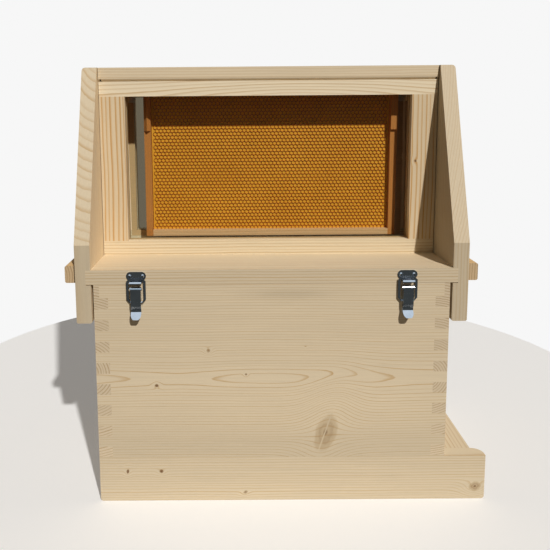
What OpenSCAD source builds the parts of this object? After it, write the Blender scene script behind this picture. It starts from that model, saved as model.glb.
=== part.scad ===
// Glass-sided observation hive: a finger-jointed nucleus box on a floor with a landing board,
// under a lift-off glazed top that shows one comb.
// Millimetres, +Z up. Front is -Y, the entrance is at +X.

/* [Box] */
// Outside width of the nucleus box, along X
box_w = 450; // [446:1:454]
// Outside depth of the nucleus box, along Y
box_d = 282; // [280:1:290]
// Height of the four box walls
box_h = 232; // [230:1:240]
// Thickness of the box walls
wall_t = 18; // [16:1:20]
// Height of one finger of the corner joints
finger_h = 14.2; // [14:0.1:14.3]
// Depth of the rebate that takes the frame lugs
rebate_h = 17.5; // [17:0.5:18]
// Thickness of the end wall left beside the rebate
rebate_lip = 7; // [6:0.5:8]
// Thickness of the boards that line the two end walls
liner_t = 20; // [18:1:21]

/* [Floor] */
// Height of the two floor rails, which are also the feet
rail_h = 60; // [55:1:70]
// Thickness of the floor rails
rail_t = 20; // [18:1:22]
// How far the rails run out past the box at the entrance end
rail_reach = 54; // [50:1:60]
// How far the landing board runs out past the box
landing_reach = 40; // [30:1:45]
// Thickness of the floor boards
floor_t = 18; // [15:1:20]
// Width of the entrance
entrance_w = 120; // [80:5:160]
// Height of the entrance
entrance_h = 10; // [8:1:12]

/* [Observation top] */
// Thickness of the shelf that rests on the box
shelf_t = 18.5; // [18:0.5:20]
// Thickness of the two side boards
side_t = 19.5; // [18:0.5:21]
// Gap between a box end and the side board beside it
side_gap = 3; // [2:0.5:4]
// How far the side boards reach down over the box
side_lap = 50; // [40:1:60]
// Height above the shelf at which the side boards begin to slope in
knuckle_rise = 32; // [25:1:40]
// Depth of the side boards at their top edge
side_top_d = 116; // [112:1:124]
// Height of a window frame
window_h = 237; // [235:1:245]
// Width of the top and bottom rails of a window frame
window_rail = 20; // [18:1:24]
// Width of the upright stiles of a window frame
window_stile = 34.2; // [32:0.1:38]
// Depth of a window frame, front to back
window_d = 22; // [20:1:24]
// Clear depth of the chamber between the two window frames
chamber_d = 61; // [58:1:66]
// Thickness of the glass
glass_t = 4; // [3:0.5:4]
// Thickness of the lid
lid_t = 18; // [16:1:20]

/* [Comb frames] */
// Length of a top bar over its lugs
bar_l = 432; // [430:1:434]
// Outside length of a frame between its lugs
frame_l = 356; // [354:1:358]
// Height of a frame
frame_h = 216; // [214:1:218]
// Number of frames in the box
frame_count = 6; // [4:1:6]
// Sideways play of the frame behind the glass
show_shift = 4.8; // [-5:0.1:5]

/* [Latches] */
// Distance of each latch from the middle of the box
latch_x = 170.5; // [120:0.5:190]
// Width of a latch
latch_w = 25; // [22:1:28]
// Width of a latch lever
lever_w = 13; // [12:0.5:15]

/* [Hidden] */
$fn = 48;
fit_gap = 0.3;               // between bodies that lift or slide apart
cut = 1;                     // overshoot of a cutting solid

// floor and box heights
box_z = rail_h;
box_top = box_z + box_h;
rebate_z = box_top - rebate_h;
finger_pairs = 8;
inner_x = box_w / 2 - wall_t;
inner_y = box_d / 2 - wall_t;
liner_x = inner_x - liner_t;

// top unit
shelf_z = box_top + fit_gap;
shelf_top = shelf_z + shelf_t;
side_in = box_w / 2 + side_gap;
side_out = side_in + side_t;
side_bottom = box_top - side_lap;
dado = 6.5;                  // depth of the housing for the shelf
dado_slack = 1;              // the housing is this much higher than the shelf
knuckle_z = shelf_top + knuckle_rise;
window_x = side_in - 0.8;    // half width of a window frame
window_top = shelf_top + window_h;
window_y = chamber_d / 2 + window_d;
stile_in = window_x - window_stile;
pane_lo = shelf_top + window_rail;
pane_hi = window_top - window_rail;
glass_rebate = 8;            // width of the rebate round the opening
bead_d = 6;                  // depth of a glazing bead
lid_z = window_top + fit_gap;
lid_top = lid_z + lid_t;
side_top = lid_top;
lid_y = window_y + 1.3;
lid_round = 4.5;
crown_r = 4.5;               // rounding of a side board's top outer edge
foot_r = 2.2;
slot_w = 24;                 // bee passage through the shelf
slot_l = 300;

// handle battens
batten_t = 15.7;
batten_h = 22.2;
batten_l = 258;
batten_z = shelf_z - 0.4;
batten_out = side_out + batten_t;

// the row's origin is under the middle of the whole outline
mid_x = (box_w / 2 + rail_reach - batten_out) / 2;

// comb frames
bar_t = 9.5;                 // thickness of frame wood
bar_w = 22;                  // width of a top bar, and of the lower side bars
hoffman_w = 35;              // width of the upper side bars, which space the combs
hoffman_h = 56;
comb_t = 2;
hairline = 0.1;              // joint between the glued or nailed pieces of a frame
frame_pitch = hoffman_w + fit_gap;
runner_t = 1;
runner_ridge = 2;
lug_z = rebate_z + runner_ridge + fit_gap;
show_lug_z = pane_hi + 8.4;  // the lugs of the frame behind the glass
rest_t = 16;
rest_in = 191;
first_frame_y = 4 - inner_y + hoffman_w / 2;
dummy_y = first_frame_y + (frame_count - 0.5) * frame_pitch + 10;
dummy_t = 10;

// latches: o is the distance out from the box face, z the height
pivot_o = 5.2;
pivot_z = box_top - 5;
link_o = 3;
link_z = pivot_z - 16.6;
pin_r = 1.2;
link_r = 1.2;
running = 0.06;              // radial clearance of a pin in its hole
sheet_t = 1.2;               // latch sheet metal
ring_t = 1.8;
ring_band = 3;
ring_top = shelf_z + 8;
trough_z = ring_top - ring_band - 0.4;
lip_o = 8.4;
lip_rise = 0.9;
lever_top = 3.2;             // height of the lever's top lip above its pivot
ear_x = 4.9;
ear_r = 2;                   // rounded ears, inside the sweep of the lever's top lip
screw_dx = 8.1;
screw_z = shelf_z + 11.2;
base_dx = 2.9;
base_screw_z = link_z - 10.5;
shank_r = 1.4;
shank_l = 12;

pine = "burlywood";
pale = "wheat";
wax = "goldenrod";
zinc = "silver";

// ---------------------------------------------------------------- helpers

// Puts hive coordinates, centred on the box, into the row frame
module placed() { translate([-mid_x, 0, 0]) children(); }

// A block between two opposite corners
module block(a, b) { translate(a) cube(b - a); }

// The same thing on the left and on the right
module both_ends() { for (s = [-1, 1]) scale_x(s) children(); }

// Mirrors in X when s is -1
module scale_x(s) { mirror([s < 0 ? 1 : 0, 0, 0]) children(); }

// Mirrors in Y when the part belongs to the back
module facing(back) { mirror([0, back ? 1 : 0, 0]) children(); }

// Extrudes a profile drawn in Y and Z along X, from x0 to x1
module along_x(x0, x1) {
    translate([x0, 0, 0]) rotate([90, 0, 90]) linear_extrude(x1 - x0) children();
}

// Extrudes a profile drawn in X and Z along Y, from y0 to y1
module along_y(y0, y1) {
    translate([0, y1, 0]) rotate([90, 0, 0]) linear_extrude(y1 - y0) children();
}

// ---------------------------------------------------------------- floor

// A rail with a rounded inner corner at its free end and eased lower corners
module rail() {
    end_x = box_w / 2 + rail_reach;
    start_x = -box_w / 2;
    nose = rail_reach - landing_reach;
    ease = 4;
    intersection() {
        linear_extrude(rail_h) union() {
            translate([start_x, -box_d / 2]) square([end_x - nose - start_x, rail_t]);
            translate([end_x - nose, -box_d / 2]) square([nose, rail_t - nose]);
            translate([end_x - nose, rail_t - nose - box_d / 2]) circle(nose);
        }
        along_y(-box_d / 2, cut - box_d / 2 + rail_t) union() {
            translate([start_x, ease]) square([end_x - start_x, rail_h - ease]);
            translate([start_x + ease, 0]) square([end_x - start_x - 2 * ease, rail_h]);
            for (x = [start_x + ease, end_x - ease]) translate([x, ease]) circle(ease);
        }
    }
}

module front_rail() { color(pine) placed() rail(); }

module back_rail() { color(pine) placed() facing(true) rail(); }

// Battens under the floor boards, one along each rail
module floor_cleats() {
    color(pine) placed() for (back = [false, true]) facing(back)
        block([-box_w / 2, rail_t - box_d / 2, rail_h - floor_t - 20],
              [box_w / 2 + landing_reach - 2, 2 * rail_t - box_d / 2, rail_h - floor_t]);
}

floor_span = box_w + landing_reach;
floor_count = 5;
floor_board_w = floor_span / floor_count;

// One floor board, laid across between the rails
module floor_plank(i) {
    x0 = -box_w / 2 + i * floor_board_w;
    block([x0 + (i > 0 ? 0.2 : 0), rail_t - box_d / 2, rail_h - floor_t],
          [x0 + floor_board_w - 0.2, box_d / 2 - rail_t, rail_h]);
}

module floor_boards() {
    color(pine) placed() for (i = [0 : floor_count - 2]) floor_plank(i);
}

module landing_board() { color(pine) placed() floor_plank(floor_count - 1); }

// ---------------------------------------------------------------- box

// Height of the foot of each end-wall finger, counted down from the rebate
function finger_z(i) = rebate_z - (2 * i + 1) * finger_h;

module long_wall() {
    difference() {
        block([-box_w / 2, -box_d / 2, box_z], [box_w / 2, wall_t - box_d / 2, box_top]);
        both_ends() {
            for (i = [0 : finger_pairs - 1])
                block([inner_x, -box_d / 2 - cut, finger_z(i)],
                      [box_w / 2 + cut, wall_t - box_d / 2 + cut, finger_z(i) + finger_h]);
            block([box_w / 2 - rebate_lip, -box_d / 2 - cut, rebate_z],
                  [box_w / 2 + cut, wall_t - box_d / 2 + cut, box_top + cut]);
        }
        for (left = [true, false], s = [-1, 1]) latch_at(left, false)
            translate([s * base_dx, 0, base_screw_z]) screw_hole(-shank_l, cut);
    }
}

module front_wall() { color(pale) placed() long_wall(); }

module back_wall() { color(pale) placed() facing(true) long_wall(); }

module end_wall() {
    union() {
        block([inner_x, -inner_y, box_z], [box_w / 2, inner_y, rebate_z]);
        block([box_w / 2 - rebate_lip, -box_d / 2, rebate_z], [box_w / 2, box_d / 2, box_top]);
        for (i = [0 : finger_pairs - 1])
            block([inner_x, -box_d / 2, finger_z(i)],
                  [box_w / 2, box_d / 2, finger_z(i) + finger_h]);
    }
}

// The way in for the bees, cut in the foot of the right wall and its liner
module entrance_cut() {
    block([liner_x - cut, -entrance_w / 2, box_z - cut],
          [box_w / 2 + cut, entrance_w / 2, box_z + entrance_h]);
}

module left_wall() { color(pale) placed() scale_x(-1) end_wall(); }

module right_wall() {
    color(pale) placed() difference() { end_wall(); entrance_cut(); }
}

// Inner boards that close the ends in to a bee space from the frames
module end_liners() {
    color(pale) placed() difference() {
        both_ends() block([liner_x, -inner_y, box_z], [inner_x, inner_y, rebate_z]);
        entrance_cut();
    }
}

// Folded metal strips that carry the frame lugs
module frame_runners() {
    ridge_x = inner_x - 4;
    color(zinc) placed() both_ends() union() {
        block([liner_x + 2, 0.5 - inner_y, rebate_z],
              [box_w / 2 - rebate_lip - 0.5, inner_y - 0.5, rebate_z + runner_t]);
        block([ridge_x, 0.5 - inner_y, rebate_z],
              [ridge_x + runner_t, inner_y - 0.5, rebate_z + runner_ridge]);
    }
}

// Strip that narrows the entrance and pulls straight out
module entrance_block() {
    half = entrance_w / 2 - fit_gap;
    color(pine) placed() difference() {
        block([liner_x + 4, -half, box_z + fit_gap],
              [box_w / 2 + 12, half, box_z + entrance_h - fit_gap]);
        block([liner_x, -25, box_z], [box_w / 2 + 12 + cut, 25, box_z + 6.5]);
        // finger groove along the outer top edge
        translate([box_w / 2 + 7, 0, box_z + entrance_h + 1])
            rotate([90, 0, 0]) cylinder(r = 3, h = entrance_w, center = true);
    }
}

// ---------------------------------------------------------------- frames

// Upper part of a side bar: one edge is cut to a V, the other is flat
module hoffman_profile() {
    v_depth = 5.5;
    polygon([[0, v_depth - hoffman_w / 2], [bar_t / 2, -hoffman_w / 2],
             [bar_t, v_depth - hoffman_w / 2], [bar_t, hoffman_w / 2], [0, hoffman_w / 2]]);
}

// A pair of side bars under lugs whose underside is at z
module side_bars(z) {
    foot = z + bar_t - frame_h;
    shoulder = z - hoffman_h;
    for (turn = [0, 180]) rotate([0, 0, turn]) translate([-frame_l / 2, 0, 0]) {
        translate([0, 0, shoulder]) linear_extrude(hoffman_h - hairline) hoffman_profile();
        along_x(0, bar_t)
            polygon([[-bar_w / 2, foot], [bar_w / 2, foot],
                     [bar_w / 2 + 2, shoulder - hairline], [-bar_w / 2, shoulder - hairline]]);
    }
}

// A top bar with its lugs
module top_bar(z) {
    block([-bar_l / 2, -bar_w / 2, z], [bar_l / 2, bar_w / 2, z + bar_t]);
}

// The two slim bottom bars, one on each face of the foundation
module bottom_bars(z) {
    foot = z + bar_t - frame_h;
    for (back = [false, true]) facing(back)
        block([bar_t + hairline - frame_l / 2, -bar_w / 2, foot],
              [frame_l / 2 - bar_t - hairline, -comb_t / 2 - hairline, foot + 8.5]);
}

// A sheet of wax foundation filling the frame
module foundation(z) {
    foot = z + bar_t - frame_h;
    block([bar_t + hairline - frame_l / 2, -comb_t / 2, foot + 1],
          [frame_l / 2 - bar_t - hairline, comb_t / 2, z - hairline]);
}

module nuc_frame(i) {
    color(pine) placed() translate([0, first_frame_y + (i - 1) * frame_pitch, 0]) union() {
        top_bar(lug_z);
        side_bars(lug_z);
        bottom_bars(lug_z);
    }
}

module nuc_foundation(i) {
    color(wax) placed() translate([0, first_frame_y + (i - 1) * frame_pitch, 0])
        foundation(lug_z);
}

// Plain board hung like a frame, to close off the spare width
module dummy_board() {
    color(pine) placed() translate([0, dummy_y, 0]) union() {
        block([-bar_l / 2, -dummy_t / 2, lug_z], [bar_l / 2, dummy_t / 2, lug_z + bar_t]);
        block([-frame_l / 2, -dummy_t / 2, lug_z + bar_t - frame_h],
              [frame_l / 2, dummy_t / 2, lug_z]);
    }
}

// The frame on show
module show_top_bar() { color(pine) placed() translate([show_shift, 0, 0]) top_bar(show_lug_z); }

module show_side_bars() {
    color(pine) placed() translate([show_shift, 0, 0]) side_bars(show_lug_z);
}

module show_bottom_bars() {
    color(pine) placed() translate([show_shift, 0, 0]) bottom_bars(show_lug_z);
}

module show_foundation() {
    color(wax) placed() translate([show_shift, 0, 0]) foundation(show_lug_z);
}

// ---------------------------------------------------------------- observation top

module shelf() {
    color(pale) placed() difference() {
        block([-side_in - dado, -box_d / 2, shelf_z], [side_in + dado, box_d / 2, shelf_top]);
        block([-slot_l / 2, -slot_w / 2, shelf_z - cut], [slot_l / 2, slot_w / 2, shelf_top + cut]);
        each_latch() for (s = [-1, 1]) translate([s * screw_dx, 0, screw_z]) screw_hole(-shank_l, cut);
    }
}

// Side board: upright below the knuckle, sloping in to the top, housed for the shelf
module side_board() {
    difference() {
        intersection() {
            along_x(side_in, side_out)
                polygon([[-box_d / 2, side_bottom], [box_d / 2, side_bottom],
                         [box_d / 2, knuckle_z], [side_top_d / 2, side_top],
                         [-side_top_d / 2, side_top], [-box_d / 2, knuckle_z]]);
            along_y(-box_d / 2 - cut, box_d / 2 + cut) union() {
                translate([side_in, side_bottom + foot_r]) square([side_t, side_top - side_bottom - foot_r - crown_r]);
                translate([side_in + foot_r, side_bottom]) square([side_t - 2 * foot_r, side_top - side_bottom - crown_r]);
                for (x = [side_in + foot_r, side_out - foot_r])
                    translate([x, side_bottom + foot_r]) circle(foot_r);
                translate([side_in, side_bottom + 2 * foot_r])
                    square([side_t - crown_r, side_top - side_bottom - 2 * foot_r]);
                translate([side_out - crown_r, side_top - crown_r]) circle(crown_r);
            }
        }
        block([side_in - cut, -box_d / 2 - cut, shelf_z - dado_slack],
              [side_in + dado, box_d / 2 + cut, shelf_top]);
    }
}

module left_side_board() { color(pale) placed() scale_x(-1) side_board(); }

module right_side_board() { color(pale) placed() side_board(); }

// Space for the glass and its beads, opened from the chamber side
module glass_seat() {
    block([-stile_in - glass_rebate, -window_y + window_d - glass_t - bead_d,
           pane_lo - glass_rebate],
          [stile_in + glass_rebate, -chamber_d / 2 + cut, pane_hi + glass_rebate]);
}

module window_rail(z) {
    difference() {
        block([-window_x, -window_y, z], [window_x, -chamber_d / 2, z + window_rail]);
        glass_seat();
    }
}

module window_stiles() {
    difference() {
        both_ends() block([stile_in, -window_y, pane_lo], [window_x, -chamber_d / 2, pane_hi]);
        glass_seat();
    }
}

module front_window_top_rail() { color(pale) placed() window_rail(pane_hi); }

module front_window_bottom_rail() { color(pale) placed() window_rail(shelf_top); }

module front_window_stiles() { color(pale) placed() window_stiles(); }

module back_window_top_rail() { color(pale) placed() facing(true) window_rail(pane_hi); }

module back_window_bottom_rail() { color(pale) placed() facing(true) window_rail(shelf_top); }

module back_window_stiles() { color(pale) placed() facing(true) window_stiles(); }

glass_y = -chamber_d / 2 - bead_d;

module glass() {
    slack = 0.5;
    block([slack - stile_in - glass_rebate, glass_y - glass_t, pane_lo - glass_rebate + slack],
          [stile_in + glass_rebate - slack, glass_y, pane_hi + glass_rebate - slack]);
}

module front_glass() { color("lightcyan", 0.35) placed() glass(); }

module back_glass() { color("lightcyan", 0.35) placed() facing(true) glass(); }

// Four strips round each pane, flush with the opening and with the chamber face
module beads() {
    for (z = [pane_lo - glass_rebate, pane_hi])
        block([-stile_in - glass_rebate, glass_y, z],
              [stile_in + glass_rebate, -chamber_d / 2, z + glass_rebate]);
    both_ends() block([stile_in, glass_y, pane_lo + 0.2],
                      [stile_in + glass_rebate, -chamber_d / 2, pane_hi - 0.2]);
}

module glazing_beads() {
    color(pine) placed() for (back = [false, true]) facing(back) beads();
}

// Battens between the two window frames that carry the lugs of the frame on show
module frame_rests() {
    color(pine) placed() both_ends()
        block([rest_in, -chamber_d / 2, show_lug_z - fit_gap - rest_t],
              [side_in, chamber_d / 2, show_lug_z - fit_gap]);
}

// Slotted zinc sheet over the bee passage
module queen_excluder() {
    half_l = slot_l / 2 + 12;
    half_w = slot_w / 2 + 8;
    pitch = 6.6;
    columns = floor(slot_l / pitch);
    color(zinc) placed() difference() {
        block([-half_l, -half_w, shelf_top], [half_l, half_w, shelf_top + 0.8]);
        for (i = [0 : columns - 1])
            block([(i - columns / 2) * pitch + 1.2, 1.5 - slot_w / 2, shelf_top - cut],
                  [(i - columns / 2) * pitch + 5.4, slot_w / 2 - 1.5, shelf_top + cut + 1]);
    }
}

// Lid profile: the lower front and back edges are rounded
module lid() {
    color(pale) placed() difference() {
        along_x(-window_x, window_x) translate([0, lid_z]) union() {
            translate([-lid_y, lid_round]) square([2 * lid_y, lid_t - lid_round]);
            translate([lid_round - lid_y, 0]) square([2 * (lid_y - lid_round), lid_t]);
            for (s = [-1, 1]) translate([s * (lid_y - lid_round), lid_round]) circle(lid_round);
        }
        // small notches at the lower corners of the front and back edges
        both_ends() for (s = [-1, 1]) scale([1, s, 1])
            block([window_x - 4, -lid_y - cut, lid_z - cut], [window_x - 1.4, 9 - lid_y, lid_z + 2.6]);
    }
}

// ---------------------------------------------------------------- handle battens

// Handle batten on the outside of a side board, with its outer edges rounded
module handle_batten() {
    round_r = 2.5;
    along_y(-batten_l / 2, batten_l / 2) union() {
        translate([side_out, batten_z]) square([batten_t - round_r, batten_h]);
        translate([side_out, batten_z + round_r]) square([batten_t, batten_h - 2 * round_r]);
        for (z = [batten_z + round_r, batten_z + batten_h - round_r])
            translate([batten_out - round_r, z]) circle(round_r);
    }
}

module left_handle_batten() { color(pine) placed() scale_x(-1) handle_batten(); }

module right_handle_batten() { color(pine) placed() handle_batten(); }

// Moves a latch part, drawn round x = 0 and y = 0 at the box face, to its place
module latch_at(left, back) {
    facing(back) translate([left ? -latch_x : latch_x, -box_d / 2, 0]) children();
}

module each_latch() {
    for (left = [true, false], back = [false, true]) latch_at(left, back) children();
}

// Hook plate: a flat plate with round ends, a shelf below it and an upturned lip
module latch_hook() {
    plate_h = 11;
    plate_z = shelf_z + 5.6;
    lip_w = 15;
    difference() {
        union() {
            along_y(-sheet_t, 0) union() {
                translate([plate_h / 2 - latch_w / 2, plate_z]) square([latch_w - plate_h, plate_h]);
                for (s = [-1, 1]) translate([s * (latch_w - plate_h) / 2, plate_z + plate_h / 2])
                    circle(plate_h / 2);
            }
            along_x(-lip_w / 2, lip_w / 2) polygon([
                [0, plate_z + 1], [-sheet_t, plate_z + 1], [-sheet_t, trough_z], [-lip_o, trough_z],
                [-lip_o, trough_z + lip_rise], [-lip_o - 0.8, trough_z + lip_rise],
                [-lip_o - 2.2, trough_z - 0.8], [-lip_o - 2.1, trough_z - 1.8],
                [-lip_o - 1.2, trough_z - 2.2], [0.6 - lip_o, trough_z - sheet_t], [0, trough_z - sheet_t]]);
        }
        for (s = [-1, 1]) translate([s * screw_dx, 0, screw_z]) screw_hole(-cut, sheet_t + cut);
    }
}

module latch_hooks() { color(zinc) placed() each_latch() latch_hook(); }

// A screw's bore, from one height above the wood to another
module screw_hole(from, to) {
    rotate([90, 0, 0]) translate([0, 0, from]) cylinder(r = shank_r, h = to - from);
}

// Round-head screw driven through sheet metal into wood
module screw(head_r) {
    rotate([90, 0, 0]) union() {
        translate([0, 0, sheet_t]) cylinder(r1 = head_r, r2 = head_r * 0.55, h = 1.3, $fn = 32);
        translate([0, 0, -shank_l]) cylinder(r = shank_r, h = shank_l + sheet_t);
    }
}

module hook_screws() {
    color(zinc) placed() each_latch() for (s = [-1, 1])
        translate([s * screw_dx, 0, screw_z]) screw(2.2);
}

// Base: a plate on the wall with two ears that carry the pivot pin, and a screw foot
module latch_base() {
    foot_z = link_z - 16;
    difference() {
        union() {
            block([-ear_x, -sheet_t, link_z - 6], [ear_x, 0, pivot_z + 2]);
            block([-5.6, -sheet_t, foot_z], [5.6, 0, link_z - 5]);
            both_ends() along_x(ear_x - 1, ear_x) union() {
                translate([-pivot_o, pivot_z]) circle(ear_r);
                translate([-pivot_o, pivot_z - ear_r]) square([pivot_o, ear_r + 0.9]);
            }
        }
        translate([-ear_x - cut, -pivot_o, pivot_z])
            rotate([0, 90, 0]) cylinder(r = pin_r, h = 2 * (ear_x + cut));
        for (s = [-1, 1]) translate([s * base_dx, 0, base_screw_z]) screw_hole(-cut, sheet_t + cut);
    }
}

module latch_bases() { color(zinc) placed() each_latch() latch_base(); }

module base_screws() {
    color(zinc) placed() each_latch() for (s = [-1, 1])
        translate([s * base_dx, 0, base_screw_z]) screw(2.2);
}

module latch_pins() {
    half = lever_w / 2 + 0.8;
    color(zinc) placed() each_latch() translate([-half, -pivot_o, pivot_z])
        rotate([0, 90, 0]) cylinder(r = pin_r, h = 2 * half);
}

// Lever: a channel over the base, with a lip above the pivot and an upturned thumb tongue
lever_o = 8;                 // inner face of the lever's web

module lever_side() {
    polygon([[-lever_o, pivot_z + 0.4], [0.9 - lever_o, pivot_z + 2.4], [-pivot_o - 1, pivot_z + lever_top],
             [1 - pivot_o, pivot_z + lever_top], [-pivot_o + 2.8, pivot_z + 1.6],
             [-pivot_o + 2.8, pivot_z - 3], [-0.7, link_z + 2],
             [-0.7, link_z - 1.6], [-1.6, link_z - 2.6], [-lever_o, link_z - 4]]);
}

// Rolled top of the lever, concentric with its pivot
module lever_lip() {
    outer_r = lever_o + sheet_t - pivot_o;
    translate([-pivot_o, pivot_z]) intersection() {
        difference() {
            circle(outer_r, $fn = 64);
            circle(outer_r - sheet_t, $fn = 64);
        }
        polygon([[0, 0], [-9, -0.5], [-9, 9], [-6.3, 9]]);
    }
}

module lever() {
    web_foot = link_z - 4;
    difference() {
        union() {
            both_ends() along_x(lever_w / 2 - sheet_t, lever_w / 2) lever_side();
            along_x(-lever_w / 2 - 0.9, lever_w / 2 + 0.9) lever_lip();
            // web, inward kink and outward tongue in one bent strip
            along_x(-lever_w / 2, lever_w / 2) polygon([
                [-lever_o, pivot_z], [-lever_o, web_foot], [1.8 - lever_o, web_foot - 4],
                [1.8 - lever_o, web_foot - 8], [-lever_o - 5.7, web_foot - 16.4],
                [-lever_o - 6.7, web_foot - 15.7], [0.6 - lever_o, web_foot - 7.6],
                [0.6 - lever_o, web_foot - 4.6], [-lever_o - sheet_t, web_foot],
                [-lever_o - sheet_t, pivot_z]]);
        }
        translate([-lever_w / 2 - cut, -pivot_o, pivot_z])
            rotate([0, 90, 0]) cylinder(r = pin_r + running, h = lever_w + 2 * cut);
        translate([-lever_w / 2 - cut, -link_o, link_z])
            rotate([0, 90, 0]) cylinder(r = link_r + running, h = lever_w + 2 * cut);
        // the tongue's end is a half round
        translate([0, -lever_o - 8, web_foot - 16.4]) difference() {
            block([-lever_w, 0, -cut], [lever_w, 10, lever_w / 2]);
            translate([0, -cut, lever_w / 2 - 0.1])
                rotate([-90, 0, 0]) cylinder(r = lever_w / 2, h = 12);
        }
    }
}

// Loop: a flat ring with cut corners; its foot is the pin that turns in the lever
module loop() {
    half = latch_w / 2 - 0.3;
    foot_cut = 4.2;
    foot_rise = 5;
    top_cut = 3;
    foot = link_z - link_r;
    inner = half - ring_band;
    arm_x = half - foot_cut;
    top_x = half - top_cut;
    union() {
        along_y(-link_o - ring_t / 2, -link_o + ring_t / 2) difference() {
            polygon([[-half, foot + foot_rise], [-arm_x, foot], [arm_x, foot], [half, foot + foot_rise],
                     [half, ring_top - top_cut], [top_x, ring_top], [-top_x, ring_top],
                     [-half, ring_top - top_cut]]);
            polygon([[-inner, foot + foot_rise + 0.8], [0.8 - arm_x, foot - cut],
                     [arm_x - 0.8, foot - cut], [inner, foot + foot_rise + 0.8],
                     [inner, ring_top - top_cut - 1], [top_x - 1, ring_top - ring_band],
                     [1 - top_x, ring_top - ring_band], [-inner, ring_top - top_cut - 1]]);
        }
        translate([-arm_x, -link_o, link_z]) rotate([0, 90, 0]) cylinder(r = link_r, h = 2 * arm_x);
    }
}

module latch_lever(left, back) { color(zinc) placed() latch_at(left, back) lever(); }

module latch_loop(left, back) { color(zinc) placed() latch_at(left, back) loop(); }

// ---------------------------------------------------------------- nodes

front_rail();
back_rail();
floor_cleats();
floor_boards();
landing_board();
front_wall();
back_wall();
left_wall();
right_wall();
end_liners();
frame_runners();
entrance_block();
dummy_board();
for (i = [1 : frame_count]) {
    nuc_frame(i);
    nuc_foundation(i);
}
shelf();
left_side_board();
right_side_board();
front_window_top_rail();
front_window_bottom_rail();
front_window_stiles();
back_window_top_rail();
back_window_bottom_rail();
back_window_stiles();
front_glass();
back_glass();
glazing_beads();
frame_rests();
queen_excluder();
left_handle_batten();
right_handle_batten();
lid();
show_top_bar();
show_side_bars();
show_bottom_bars();
show_foundation();
latch_hooks();
hook_screws();
latch_bases();
base_screws();
latch_pins();
latch_lever(true, false);  // front_left_lever
latch_lever(false, false);  // front_right_lever
latch_lever(true, true);  // back_left_lever
latch_lever(false, true);  // back_right_lever
latch_loop(true, false);  // front_left_loop
latch_loop(false, false);  // front_right_loop
latch_loop(true, true);  // back_left_loop
latch_loop(false, true);  // back_right_loop
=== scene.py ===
import bpy
import math
import numpy as np
from mathutils import Matrix, Vector


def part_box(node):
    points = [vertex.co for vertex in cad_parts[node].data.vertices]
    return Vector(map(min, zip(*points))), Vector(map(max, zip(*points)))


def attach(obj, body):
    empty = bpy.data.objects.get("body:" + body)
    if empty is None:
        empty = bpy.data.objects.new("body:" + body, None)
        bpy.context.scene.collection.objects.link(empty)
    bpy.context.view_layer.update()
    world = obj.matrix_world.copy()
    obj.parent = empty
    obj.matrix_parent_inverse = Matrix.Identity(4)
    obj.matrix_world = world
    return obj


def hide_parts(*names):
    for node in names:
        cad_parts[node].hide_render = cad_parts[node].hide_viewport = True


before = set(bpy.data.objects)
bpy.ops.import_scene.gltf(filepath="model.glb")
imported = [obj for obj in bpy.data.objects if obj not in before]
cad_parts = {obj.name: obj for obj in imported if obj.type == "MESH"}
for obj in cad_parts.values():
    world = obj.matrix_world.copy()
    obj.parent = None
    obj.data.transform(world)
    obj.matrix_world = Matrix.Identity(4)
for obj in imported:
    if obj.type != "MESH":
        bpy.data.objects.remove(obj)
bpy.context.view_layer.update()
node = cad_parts
scene = bpy.context.scene
MM = 0.001
front_lo, front_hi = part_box("front_wall")
HIVE_X = (front_lo[0] + front_hi[0]) / 2  # the middle of the box, from left to right
GRAIN_X = HIVE_X / MM + 4.5  # x in the materials is measured from here, in millimetres


# ------------------------------------------------------------- node graphs

class Val:
    """An output socket that takes part in arithmetic."""

    def __init__(self, graph, out):
        self.g = graph
        self.out = out

    def __add__(self, o):
        return self.g.math("ADD", self, o)

    def __sub__(self, o):
        return self.g.math("SUBTRACT", self, o)

    def __rsub__(self, o):
        return self.g.math("SUBTRACT", o, self)

    def __mul__(self, o):
        return self.g.math("MULTIPLY", self, o)

    def __truediv__(self, o):
        return self.g.math("DIVIDE", self, o)

    def __neg__(self):
        return self.g.math("MULTIPLY", self, -1.0)


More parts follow.
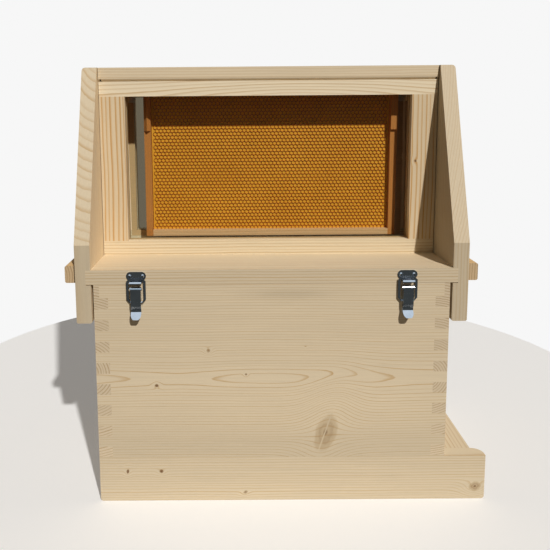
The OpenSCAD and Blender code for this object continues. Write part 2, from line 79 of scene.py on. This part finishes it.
class Graph:
    """A material's node tree, built from expressions."""

    def __init__(self, name):
        self.mat = bpy.data.materials.new(name)
        self.mat.use_nodes = True
        self.tree = self.mat.node_tree
        self.tree.nodes.clear()
        self.shader = self.node("ShaderNodeBsdfPrincipled")
        self.output = self.node("ShaderNodeOutputMaterial")
        self.tree.links.new(self.shader.outputs[0], self.output.inputs["Surface"])

    def node(self, kind, **props):
        made = self.tree.nodes.new(kind)
        for key, value in props.items():
            setattr(made, key, value)
        return made

    def feed(self, socket, value):
        if isinstance(value, Val):
            self.tree.links.new(value.out, socket)
        else:
            socket.default_value = value

    def math(self, op, *args, clamp=False):
        made = self.node("ShaderNodeMath", operation=op, use_clamp=clamp)
        for socket, value in zip(made.inputs, args):
            self.feed(socket, value)
        return Val(self, made.outputs[0])

    def coordinates(self, kind):
        at = self.node("ShaderNodeTexCoord").outputs[kind]
        split = self.node("ShaderNodeSeparateXYZ")
        self.tree.links.new(at, split.inputs[0])
        return [Val(self, o) for o in split.outputs]

    def object_mm(self):
        """The object's own coordinates in millimetres, as x, y and z."""
        x, y, z = (value * (1.0 / MM) for value in self.coordinates("Object"))
        return [x - GRAIN_X, y, z]

    def vector(self, x, y, z):
        made = self.node("ShaderNodeCombineXYZ")
        for socket, value in zip(made.inputs, (x, y, z)):
            self.feed(socket, value)
        return Val(self, made.outputs[0])

    def noise(self, vec, detail=2.0, rough=0.5):
        """Noise centred on 0, within about -0.5 to 0.5."""
        made = self.node("ShaderNodeTexNoise")
        self.feed(made.inputs["Vector"], vec)
        made.inputs["Scale"].default_value = 1.0
        made.inputs["Detail"].default_value = detail
        made.inputs["Roughness"].default_value = rough
        return Val(self, made.outputs[0]) - 0.5

    def step(self, value, lo, hi, out_lo=0.0, out_hi=1.0):
        """Smooth step from out_lo at lo to out_hi at hi."""
        made = self.node("ShaderNodeMapRange", interpolation_type="SMOOTHSTEP")
        self.feed(made.inputs["Value"], value)
        limits = {"From Min": lo, "From Max": hi, "To Min": out_lo, "To Max": out_hi}
        for name, number in limits.items():
            made.inputs[name].default_value = number
        return Val(self, made.outputs[0])

    def mix(self, fac, a, b, blend="MIX"):
        made = self.node("ShaderNodeMix", data_type="RGBA", blend_type=blend)
        self.feed(made.inputs[0], fac)
        for socket, value in ((made.inputs[6], a), (made.inputs[7], b)):
            self.feed(socket, (*value, 1.0) if isinstance(value, tuple) else value)
        return Val(self, made.outputs[2])

    def grey(self, value):
        return self.vector(value, value, value)

    def bump(self, height, distance):
        made = self.node("ShaderNodeBump")
        made.inputs["Strength"].default_value = 1.0
        made.inputs["Distance"].default_value = distance
        self.feed(made.inputs["Height"], height)
        self.tree.links.new(made.outputs[0], self.shader.inputs["Normal"])

    def set(self, **values):
        for key, value in values.items():
            self.feed(self.shader.inputs[key.replace("_", " ")], value)


# for each grain direction, the axes that run along the grain, across it and into the board
AXES = {"x": (0, 2, 1), "y": (1, 0, 2), "z": (2, 0, 1)}
# the two shades of softwood, on long grain and on end grain, and the shades of a knot
EARLY = (0.66, 0.545, 0.375)
LATE = (0.50, 0.33, 0.155)
END_EARLY = (0.56, 0.45, 0.31)
END_LATE = (0.27, 0.19, 0.12)
KNOT_RIM = (0.36, 0.245, 0.12)
KNOT_HEART = (0.14, 0.065, 0.025)
KNOT_CRACK = (0.52, 0.42, 0.28)


def wood(name, grain, pith, ring, contrast, early=EARLY, late=LATE, late_from=0.48, wander=4.0, wave=2.0,
         seed=0.0, phase=0.0, face=1.0, painted_top_light=0.25, painted_side_light=0.0, arches=(), stains_and_shade=(), knots=()):
    """Softwood: growth rings round the pith, fibres along the grain, and knots. Lengths are in mm.

    pith is where the pith lies across the grain and into the board, and ring is the width of a year.
    contrast is the strength of the late wood, which starts at late_from of each year and has the colour
    late, while the rest has the colour early. wander and wave bend the rings slowly and finely, and phase
    shifts them. face is the brightness of the whole; lift and flank are painted light, brightening what
    faces up and sideways as the key light would, and a negative flank paints shade.
    An arch brings the pith nearer the face: (along, spread, height).
    A stain, real or painted shade, is (along, across, half length, half width, darkness).
    A knot is (along, across, half length, half width, push, darkness, tilt, check): the fibres part
    round it, push adds swirls, and check opens a crack."""
    g = Graph(name)
    xyz = g.object_mm()
    normal = g.coordinates("Normal")
    i, j, k = AXES[grain]
    along, across, deep = xyz[i], xyz[j], xyz[k]
    slow = g.noise(g.vector(along * 0.0045 + seed, 0.0, 0.0), detail=1.0)
    slow_b = g.noise(g.vector(along * 0.004 + seed + 7.3, 0.0, 0.0), detail=1.0)
    parted, swirl, dark, crack = across, 0.0, None, None
    # knots: the fibres part round them
    for at, side, half_l, half_w, push, shade, tilt, check in knots:
        c, s = math.cos(math.radians(tilt)), math.sin(math.radians(tilt))
        du, dv = along - at, across - side
        u, v = (du * c + dv * s) / half_l, (dv * c - du * s) / half_w
        d2 = u * u + v * v
        near = g.math("EXPONENT", -(d2 * 0.2))
        parted = parted - dv * near * 0.75
        swirl = near * push + swirl
        wobble = g.noise(g.vector(u * 1.3 + seed, v * 1.3, 0.0), detail=4.0) * 0.5
        d = g.math("SQRT", d2) + wobble
        core = g.step(d, 1.12, 0.72) * shade
        rings = g.math("SINE", d * 15.0 + wobble * 9.0) * 0.14 + 0.86
        heart = g.step(d, 0.5, 0.1) * 0.35 + 1.0
        mask = g.math("MINIMUM", core * rings * heart, 1.0)
        dark = mask if dark is None else g.math("MAXIMUM", dark, mask)
        if check:
            line = g.math("ABSOLUTE", u + wobble * 0.25 + 0.08) * half_l
            crack = g.step(line, 1.3, 0.5) * g.step(g.math("ABSOLUTE", v), 1.25, 0.7) * check
    # growth rings: the distance from the pith, counted in years
    a = parted - pith[0] + slow * wander
    b = deep - pith[1] + slow_b * wander * 0.5
    for at, spread, height in arches:
        hump = (along - at) / spread
        b = b + g.math("EXPONENT", -(hump * hump)) * height
    ripple = g.noise(g.vector(along * 0.008 + seed, across * 0.045, deep * 0.045), detail=2.0) * wave
    ripple = ripple + g.noise(g.vector(along * 0.03 + seed, across * 0.2, deep * 0.2), detail=2.0) * 0.7
    radius = g.math("SQRT", a * a + b * b) + ripple + swirl
    years = g.noise(g.vector(radius * 0.05 + seed, 0.0, 0.0), detail=1.0) * ring * 1.6
    count = (radius + years) / ring + phase
    part = g.math("FRACT", count)
    year = g.noise(g.vector(g.math("FLOOR", count) * 0.73 + seed, 0.0, 0.0), detail=0.0)
    late_mask = g.step(part, late_from, 0.96) * g.step(part, 1.0, 0.96)
    # patches, streaks and fibres, each finer than the last and stretched along the grain
    patch = g.noise(g.vector(along * 0.003 + seed, across * 0.02, deep * 0.02), detail=2.0)
    streak = g.noise(g.vector(along * 0.01 + seed, across * 0.5, deep * 0.5), detail=3.0)
    late_amount = late_mask * (year * 2.2 + patch * 1.2 + streak * 0.8 + 1.0) * contrast
    fibre = g.noise(g.vector(along * 0.03, across * 1.1, deep * 1.1), detail=4.0, rough=0.6)
    hair = g.noise(g.vector(along * 0.12, across * 4.0, deep * 4.0), detail=2.0)
    # colour and brightness; end is 1 on end grain
    end = g.step(g.math("ABSOLUTE", normal[i]), 0.6, 0.9)
    late_amount = g.math("MINIMUM", g.math("MAXIMUM", late_amount * (end * 1.3 + 1.0), 0.0), 1.0)
    colour = g.mix(late_amount, early, late)
    tone = patch * 0.12 + streak * 0.16 + fibre * 0.14 + hair * 0.08 + face
    # painted light: faces turned up are brightened, and faces turned sideways are brightened (darkened
    # when negative), standing in for the key light
    if painted_top_light:
        tone = tone + g.math("MAXIMUM", normal[2], 0.0) * painted_top_light
    if painted_side_light:
        tone = tone + g.math("ABSOLUTE", normal[0]) * painted_side_light
    # darkening by stains: some are real stains, some are painted shade
    for at, side, half_l, half_w, shade in stains_and_shade:
        u, v = (along - at) / half_l, (across - side) / half_w
        darkening = g.math("EXPONENT", -(u * u + v * v)) * (streak * 1.6 + 1.0)
        tone = tone - darkening * shade
    colour = g.mix(end * 0.45, colour, g.mix(late_amount, END_EARLY, END_LATE))
    colour = g.mix(1.0, colour, g.grey(tone), "MULTIPLY")
    if dark is not None:
        centre = g.mix(g.step(dark, 0.45, 1.0), KNOT_RIM, KNOT_HEART)
        colour = g.mix(dark * (1.0 - end), colour, centre)
    if crack is not None:
        colour = g.mix(crack, colour, KNOT_CRACK)
    g.set(Base_Color=colour, Roughness=fibre * 0.16 + late_mask * -0.06 + 0.64)
    g.shader.inputs["Specular IOR Level"].default_value = 0.25
    g.bump(fibre * 0.5 + hair * 0.5 + late_mask * 0.35, 0.00012)
    return g.mat


def metal(name, base, rough):
    """Plated sheet metal, a little cloudy."""
    g = Graph(name)
    x, y, z = g.object_mm()
    cloud = g.noise(g.vector(x * 0.12, y * 0.12, z * 0.12), detail=3.0)
    fine = g.noise(g.vector(x * 3.0, y * 3.0, z * 0.6), detail=2.0)
    g.set(Base_Color=g.mix(1.0, base, g.grey(cloud * 0.3 + fine * 0.12 + 1.0), "MULTIPLY"),
          Roughness=cloud * 0.16 + fine * 0.05 + rough)
    g.shader.inputs["Metallic"].default_value = 1.0
    g.bump(fine, 0.00002)
    return g.mat


# the lighter and darker shades of plain wax and of the bottoms of pressed cells, and the painted shade on
# the cells' walls
WAX_DARK, WAX_LIGHT = (0.62, 0.25, 0.008), (0.72, 0.31, 0.012)
PIT_DARK, PIT_LIGHT = (0.71, 0.32, 0.018), (0.81, 0.39, 0.028)
PAINTED_CELL_SHADE = (0.34, 0.072, 0.003)


def wax(name, mid=None):
    """Beeswax. mid is the y of a pressed sheet's middle, in millimetres: its cell walls get painted
    shade, a dark red-brown standing in for the shadows in the cells.
    """
    g = Graph(name)
    x, y, z = g.object_mm()
    cloud = g.noise(g.vector(x * 0.015, y * 0.1, z * 0.02), detail=3.0)
    fine = g.noise(g.vector(x * 0.5, y * 0.5, z * 0.5), detail=3.0)
    patch = g.step(cloud, -0.4, 0.4)
    if mid is None:
        colour = g.mix(patch, WAX_DARK, WAX_LIGHT)
    else:
        # painted shade: the cell walls and their upper slopes are coloured dark red-brown, standing in
        # for the shadows in the cells
        cell_shade_mask = g.step(g.math("ABSOLUTE", y - mid), 0.9, 2.3)
        colour = g.mix(cell_shade_mask, g.mix(patch, PIT_DARK, PIT_LIGHT), PAINTED_CELL_SHADE)
    g.set(Base_Color=g.mix(1.0, colour, g.grey(fine * 0.2 + 1.0), "MULTIPLY"),
          Roughness=fine * 0.2 + 0.45)
    g.shader.inputs["Subsurface Weight"].default_value = 0.02
    g.shader.inputs["Subsurface Radius"].default_value = (0.004, 0.0016, 0.0004)
    g.shader.inputs["Specular IOR Level"].default_value = 0.4
    g.bump(fine, 0.0001)
    return g.mat


def glass(name):
    """A clear pane with a weak, slightly smeared reflection."""
    g = Graph(name)
    x, y, z = g.object_mm()
    smear = g.noise(g.vector(x * 0.02, y * 0.02, z * 0.012), detail=4.0)
    gloss = g.node("ShaderNodeBsdfGlossy")
    g.feed(gloss.inputs["Roughness"], g.step(smear, 0.0, 0.4, 0.01, 0.05))
    clear = g.node("ShaderNodeBsdfTransparent")
    clear.inputs["Color"].default_value = (0.96, 0.98, 0.965, 1.0)
    fresnel = g.node("ShaderNodeFresnel")
    fresnel.inputs["IOR"].default_value = 1.45
    blend = g.node("ShaderNodeMixShader")
    g.feed(blend.inputs[0], Val(g, fresnel.outputs[0]) * (smear * 0.2 + 0.35))
    g.tree.links.new(clear.outputs[0], blend.inputs[1])
    g.tree.links.new(gloss.outputs[0], blend.inputs[2])
    g.tree.links.new(blend.outputs[0], g.output.inputs["Surface"])
    g.tree.nodes.remove(g.shader)
    return g.mat


# --------------------------------------------------------------- materials

def paint(names, material):
    """Give CAD nodes, named in one string, a material."""
    for name in names.split():
        mesh = node[name].data
        mesh.materials.clear()
        mesh.materials.append(material)


paint("front_wall", wood("spruce_front", "x", pith=(167.6, -116.5), ring=3.4, contrast=0.7,
                         late_from=0.74, wander=3, wave=1.2, seed=1.3, phase=-0.55, face=0.98,
                         arches=((-58, 52, 3.6), (23, 77, 10), (-355, 315, 17.4)),
                         # the first stain is a real grey mark; the second is painted shade, darkening the
                         # whole bottom of the front wall
                         stains_and_shade=((20, 279, 55, 7, 0.15), (0, 62, 500, 50, 0.18)),
                         knots=((-85.4, 205, 2.6, 2.6, 6, 0.7, 20, 0),
                                (-37.5, 173, 1.6, 1.6, 3, 0.85, 0, 0),
                                (-152.5, 158.6, 2.6, 2.4, 4, 0.95, 0, 0),
                                (38.6, 210, 1.2, 1.0, 1, 0.4, 0, 0),
                                (65.4, 92, 14, 26, 3, 0.62, -18, 1.0))))
paint("back_wall", wood("spruce_back", "x", pith=(180, 112), ring=3.6, contrast=0.36, wander=5, wave=2.5,
                        seed=4.1, face=0.93, arches=((40, 110, -18),),
                        knots=((90, 120, 4, 3.5, 6, 0.8, 0, 0), (-120, 240, 3, 2.6, 5, 0.9, 10, 0))))
paint("left_wall", wood("spruce_left_end", "y", pith=(-244, 176), ring=3.6, contrast=0.32, seed=2.2,
                        face=0.96))
paint("right_wall", wood("spruce_right_end", "y", pith=(194, 168), ring=3.4, contrast=0.32, seed=5.9,
                         face=0.96))
paint("end_liners", wood("spruce_liner", "z", pith=(30, 60), ring=4.2, contrast=0.35, seed=9.2))
paint("front_rail", wood("spruce_rail", "x", pith=(-60, -120), ring=3.6, contrast=0.5, late_from=0.58,
                         wander=3, seed=3.7, face=0.86, painted_top_light=0.4,
                         knots=((-193, 41, 2.0, 3.4, 3, 1.0, -10, 0),
                                (-149, 41, 2.8, 2.8, 4, 1.0, 30, 0),
                                (-39, 11, 3.2, 2.2, 3, 0.8, 30, 0),
                                (262, 17, 8, 6.5, 10, 0.7, 20, 0))))
paint("back_rail", wood("spruce_rail_back", "x", pith=(12, 90), ring=4.2, contrast=0.26, seed=6.4,
                        painted_top_light=0.35, knots=((60, 30, 5, 4, 6, 0.9, 0, 0),)))
paint("floor_boards landing_board", wood("spruce_floor", "y", pith=(40, -40), ring=5.0, contrast=0.5,
                                         seed=5.5))
paint("floor_cleats", wood("spruce_cleat", "x", pith=(90, 30), ring=3.6, contrast=0.4, seed=8.8))
paint("entrance_block dummy_board", wood("spruce_block", "x", pith=(200, 60), ring=3.5, contrast=0.4,
                                         early=(0.74, 0.56, 0.35), seed=7.7))
paint("shelf", wood("spruce_shelf", "x", pith=(345, -136), ring=3.8, contrast=0.55, wander=3, wave=1.2,
                    seed=0.7, face=0.93, painted_top_light=0.27))
# the side boards' broad faces carry painted light: brightened on the left board, and darkened a little on
# the right board as painted shade
paint("left_side_board", wood("spruce_left", "z", pith=(-228, -25), ring=4.6, contrast=0.55, wander=5,
                              seed=11.4, face=0.84, painted_top_light=0.45, painted_side_light=0.5))
paint("right_side_board", wood("spruce_right", "z", pith=(120, -30), ring=3.0, contrast=0.45, wander=8,
                               seed=12.9, face=0.82, painted_top_light=0.35, painted_side_light=-0.1))
paint("lid", wood("spruce_lid", "x", pith=(600, -60), ring=3.4, contrast=0.45, wander=5, seed=13.2,
                  face=1.06, painted_top_light=0.2))
for side, sign in (("front", -1), ("back", 1)):
    paint(f"{side}_window_top_rail", wood(f"spruce_top_rail_{side}", "x", pith=(519, sign * 27.5),
                                          ring=3.4, contrast=0.6, early=(0.74, 0.63, 0.445), wander=3,
                                          seed=14.6 + sign, face=1.08, arches=((40, 160, sign * -14),)))
    paint(f"{side}_window_bottom_rail", wood(f"spruce_bottom_rail_{side}", "x", pith=(290, sign * 40),
                                             ring=3.8, contrast=0.75, early=(0.72, 0.60, 0.405),
                                             seed=15.3 + sign))
    # painted light: the back stiles, seen through both panes, get a much lighter copy of the stile wood
    # so that they look sunlit
    stile_early = (0.66, 0.53, 0.345) if side == "front" else (0.98, 0.75, 0.52)
    paint(f"{side}_window_stiles", wood(f"spruce_stiles_{side}", "z", pith=(-150, sign * 55), ring=5.6,
                                        contrast=0.95, early=stile_early, late=(0.52, 0.29, 0.10),
                                        wander=10, seed=16.8 + sign,
                                        knots=((438.6, 195.1, 2.0, 1.8, 3, 1.0, 0, 0),)))
nuc_frames = " ".join(f"nuc_frame_{number}" for number in range(1, 7))
paint(f"show_top_bar {nuc_frames}", wood("frame_pine", "x", pith=(420, 60), ring=2.6, contrast=0.5,
                                         early=(0.66, 0.42, 0.19), late=(0.42, 0.2, 0.06), seed=21.0))
paint("show_side_bars", wood("frame_pine_side", "z", pith=(30, 40), ring=2.4, contrast=0.7,
                             early=(0.55, 0.205, 0.045), late=(0.36, 0.15, 0.04), seed=22.0))
paint("show_bottom_bars", wood("frame_pine_bottom", "x", pith=(300, 30), ring=2.6, contrast=0.4,
                               early=(0.72, 0.44, 0.22), late=(0.5, 0.24, 0.08), seed=23.0))
paint("frame_rests glazing_beads", wood("spruce_rest", "x", pith=(500, 30), ring=3.2, contrast=0.4,
                                        early=(0.6, 0.4, 0.2), seed=24.0))
paint("left_handle_batten right_handle_batten", wood("spruce_batten", "y", pith=(-300, 300), ring=3.0,
                                                     contrast=0.5, early=(0.56, 0.37, 0.175), seed=25.0,
                                                     painted_top_light=0.45))
latch_names = "latch_hooks hook_screws latch_bases base_screws latch_pins"
for corner in ("front_left", "front_right", "back_left", "back_right"):
    latch_names += f" {corner}_lever {corner}_loop"
paint(latch_names, metal("bright_plate", (0.46, 0.49, 0.53), 0.16))
paint("frame_runners queen_excluder", metal("dull_zinc", (0.5, 0.52, 0.54), 0.38))
paint("front_glass back_glass", glass("clear_pane"))
plain_wax = wax("beeswax")
show_lo, show_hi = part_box("show_foundation")
pressed_wax = wax("pressed_beeswax", (show_lo[1] + show_hi[1]) / 2 / MM)

# edges, in millimetres: boards are eased a little, sheet metal less, and the box's joints not at all
EASE = {"front_wall": 0.0, "back_wall": 0.0, "left_wall": 0.0, "right_wall": 0.0, "front_glass": 0.3,
        "back_glass": 0.3, "queen_excluder": 0.0, "frame_runners": 0.1, "shelf": 0.7, "lid": 0.7,
        "left_side_board": 1.2, "right_side_board": 1.2, "front_rail": 2.0, "back_rail": 2.0}
LATCH_EASE = 0.18
OTHER_EASE = 0.5
for name, obj in node.items():
    ease = EASE.get(name, LATCH_EASE if name in latch_names.split() else OTHER_EASE)
    if ease:
        mod = obj.modifiers.new("eased edges", "BEVEL")
        mod.width = ease * MM
        mod.segments = 2
        mod.limit_method = "ANGLE"
        mod.angle_limit = math.radians(40)
        mod.harden_normals = True


# -------------------------------------------------------------- foundation

CELL_PITCH = 5.4 * MM  # worker cells, from flat to flat
SHEET_HALF = 2.6 * MM  # from the middle of the sheet to the top of its cell walls
CELL_DEPTH = 2.2 * MM  # from there down to the point of a cell
# the six-sided rings of one cell, from the rim inwards: share of its radius, and depth
PLAIN_CELL = ((1.0, 0.0),)
PRESSED_CELL = ((1.0, 0.0), (0.94, 0.03 * MM), (0.74, 1.9 * MM))
HEXAGON = [(math.sin(math.radians(60 * n)), math.cos(math.radians(60 * n))) for n in range(6)]


def comb_sheet(name, cad, body, cell, material):
    """Wax foundation: a thin sheet pressed with six-sided cells on both faces."""
    lo, hi = (np.array(c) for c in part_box(cad))
    mid_x, mid_y, mid_z = (lo + hi) / 2
    row = CELL_PITCH * math.sqrt(3) / 2
    radius = CELL_PITCH / math.sqrt(3)
    cols = int((hi[0] - lo[0]) / CELL_PITCH - 0.5)
    rows = int((hi[2] - lo[2] - 2 * radius) / row) + 1
    x0 = mid_x - (cols - 0.5) * CELL_PITCH / 2
    z0 = mid_z - (rows - 1) * row / 2
    verts, faces = [], []
    for side in (-1, 1):
        def facing(corners):
            return corners if side > 0 else corners[::-1]

        top = mid_y + side * SHEET_HALF
        for j in range(rows):
            for i in range(cols):
                cx, cz = x0 + (i + 0.5 * (j % 2)) * CELL_PITCH, z0 + j * row
                base = len(verts)
                for share, depth in cell:
                    verts += [(cx + sx * radius * share, top - side * depth, cz + sz * radius * share)
                              for sx, sz in HEXAGON]
                verts.append((cx, top - side * CELL_DEPTH, cz))
                centre = len(verts) - 1
                last = centre - 6
                for start in range(base, last, 6):
                    for n in range(6):
                        p, q = start + n, start + (n + 1) % 6
                        faces.append(facing((p, q, q + 6, p + 6)))
                for n in range(6):
                    faces.append(facing((last + n, last + (n + 1) % 6, centre)))
    # the sheet itself, which closes the bottoms of the cells and is the plain margin round them
    b = len(verts)
    for y in (lo[1], hi[1]):
        for x, z in ((lo[0], lo[2]), (hi[0], lo[2]), (hi[0], hi[2]), (lo[0], hi[2])):
            verts.append((x, y, z))
    faces += [(b, b + 1, b + 2, b + 3), (b + 7, b + 6, b + 5, b + 4)]
    for n in range(4):
        m = (n + 1) % 4
        faces.append((b + n, b + 4 + n, b + 4 + m, b + m))
    mesh = bpy.data.meshes.new(name)
    mesh.from_pydata(verts, [], faces)
    mesh.update()
    mesh.materials.append(material)
    obj = bpy.data.objects.new(name, mesh)
    scene.collection.objects.link(obj)
    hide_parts(cad)
    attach(obj, body)


comb_sheet("show_comb", "show_foundation", "show_frame", PRESSED_CELL, pressed_wax)
for number in range(1, 7):
    comb_sheet(f"nuc_comb_{number}", f"nuc_foundation_{number}", f"frame_{number}",
               PLAIN_CELL, plain_wax)


# ------------------------------------------------------------------- stage

# the floor: an oval disc, with its middle a little behind the hive
FLOOR_SIDES = 72
FLOOR_HALF_X = 0.62
FLOOR_HALF_Y = 0.58
FLOOR_MIDDLE_Y = 0.25
FLOOR_BELOW = 0.0002  # keeps it off the rails' undersides
turns = [math.radians(360 / FLOOR_SIDES * n) for n in range(FLOOR_SIDES)]
rim = [(FLOOR_HALF_X * math.cos(t), FLOOR_MIDDLE_Y + FLOOR_HALF_Y * math.sin(t), 0.0) for t in turns]
floor_mesh = bpy.data.meshes.new("studio_floor")
floor_mesh.from_pydata(rim, [], [tuple(range(FLOOR_SIDES))])
floor_graph = Graph("studio_floor")
floor_graph.set(Base_Color=(0.86, 0.855, 0.84, 1.0), Roughness=0.9, Emission_Color=(1.0, 1.0, 1.0, 1.0),
                Emission_Strength=0.16)
floor_mesh.materials.append(floor_graph.mat)
floor = bpy.data.objects.new("studio_floor", floor_mesh)
floor.location.z = -FLOOR_BELOW
scene.collection.objects.link(floor)

# surroundings: a weak even fill as light, a dark room with a bright ceiling in reflections, a white
# backdrop in view, and a dark one through both panes
FILL = 0.12
FILL_COLOUR = (FILL * 1.02, FILL * 0.86, FILL * 0.68)
BACKDROP = (0.93, 0.93, 0.93)
BEHIND_GLASS = (0.165, 0.13, 0.095)
ROOM_FLOOR, ROOM_CEILING = (0.075, 0.082, 0.08), (1.2, 1.3, 1.4)
ROOM_BETWEEN = ((0.25, (0.1, 0.115, 0.125)), (0.6, (0.5, 0.66, 0.78)))  # height on the sphere, colour
world = bpy.data.worlds.new("studio")
scene.world = world
world.use_nodes = True
tree = world.node_tree
path = tree.nodes.new("ShaderNodeLightPath")
coord = tree.nodes.new("ShaderNodeTexCoord")
split = tree.nodes.new("ShaderNodeSeparateXYZ")
tree.links.new(coord.outputs["Generated"], split.inputs[0])
room = tree.nodes.new("ShaderNodeValToRGB")
tree.links.new(split.outputs[2], room.inputs[0])
stops = room.color_ramp.elements
stops[0].color = (*ROOM_FLOOR, 1.0)
stops[-1].color = (*ROOM_CEILING, 1.0)
for place, colour in ROOM_BETWEEN:
    stops.new(place).color = (*colour, 1.0)
behind_glass = tree.nodes.new("ShaderNodeMath")
behind_glass.operation = "GREATER_THAN"
behind_glass.inputs[1].default_value = 0.5
tree.links.new(path.outputs["Transparent Depth"], behind_glass.inputs[0])


def world_mix(fac, a, b):
    """a where fac is 0 and b where it is 1."""
    made = tree.nodes.new("ShaderNodeMix")
    made.data_type = "RGBA"
    tree.links.new(fac, made.inputs[0])
    for socket, value in ((made.inputs[6], a), (made.inputs[7], b)):
        if isinstance(value, tuple):
            socket.default_value = (*value, 1.0)
        else:
            tree.links.new(value, socket)
    return made.outputs[2]


lit = world_mix(path.outputs["Is Glossy Ray"], FILL_COLOUR, room.outputs[0])
seen = world_mix(behind_glass.outputs[0], BACKDROP, BEHIND_GLASS)
tree.links.new(world_mix(path.outputs["Is Camera Ray"], lit, seen), tree.nodes["Background"].inputs[0])

# the sun comes from the front right and above
SUN_TRAVEL = (-0.345, 1.0, -0.82)
sun = bpy.data.lights.new("key", "SUN")
sun.energy = 3.02
sun.angle = math.radians(1.4)
sun.color = (1.0, 0.985, 0.97)
sun_object = bpy.data.objects.new("key", sun)
sun_object.rotation_euler = Vector(SUN_TRAVEL).to_track_quat("-Z", "Y").to_euler()
scene.collection.objects.link(sun_object)

scene.view_settings.view_transform = "Standard"

# the camera stands nearly a metre in front, at the height of the window, and looks a little down
EYE = (HIVE_X - 0.04248, -0.97828, 0.51511)
YAW, PITCH, ROLL = math.radians(0.099), math.radians(-7.896), math.radians(0.44)
LEVEL = Matrix.Rotation(math.radians(90), 4, "X")
camera = bpy.data.cameras.new("camera")
camera.sensor_width = 36.0
camera.lens = 44.7
camera.shift_x = 0.0706
camera.shift_y = -0.1364
camera_object = bpy.data.objects.new("camera", camera)
aim = Matrix.Rotation(YAW, 4, "Z") @ Matrix.Rotation(PITCH, 4, "X") @ Matrix.Rotation(ROLL, 4, "Y")
camera_object.matrix_world = Matrix.Translation(EYE) @ aim @ LEVEL
scene.collection.objects.link(camera_object)
scene.camera = camera_object

bpy.context.view_layer.update()
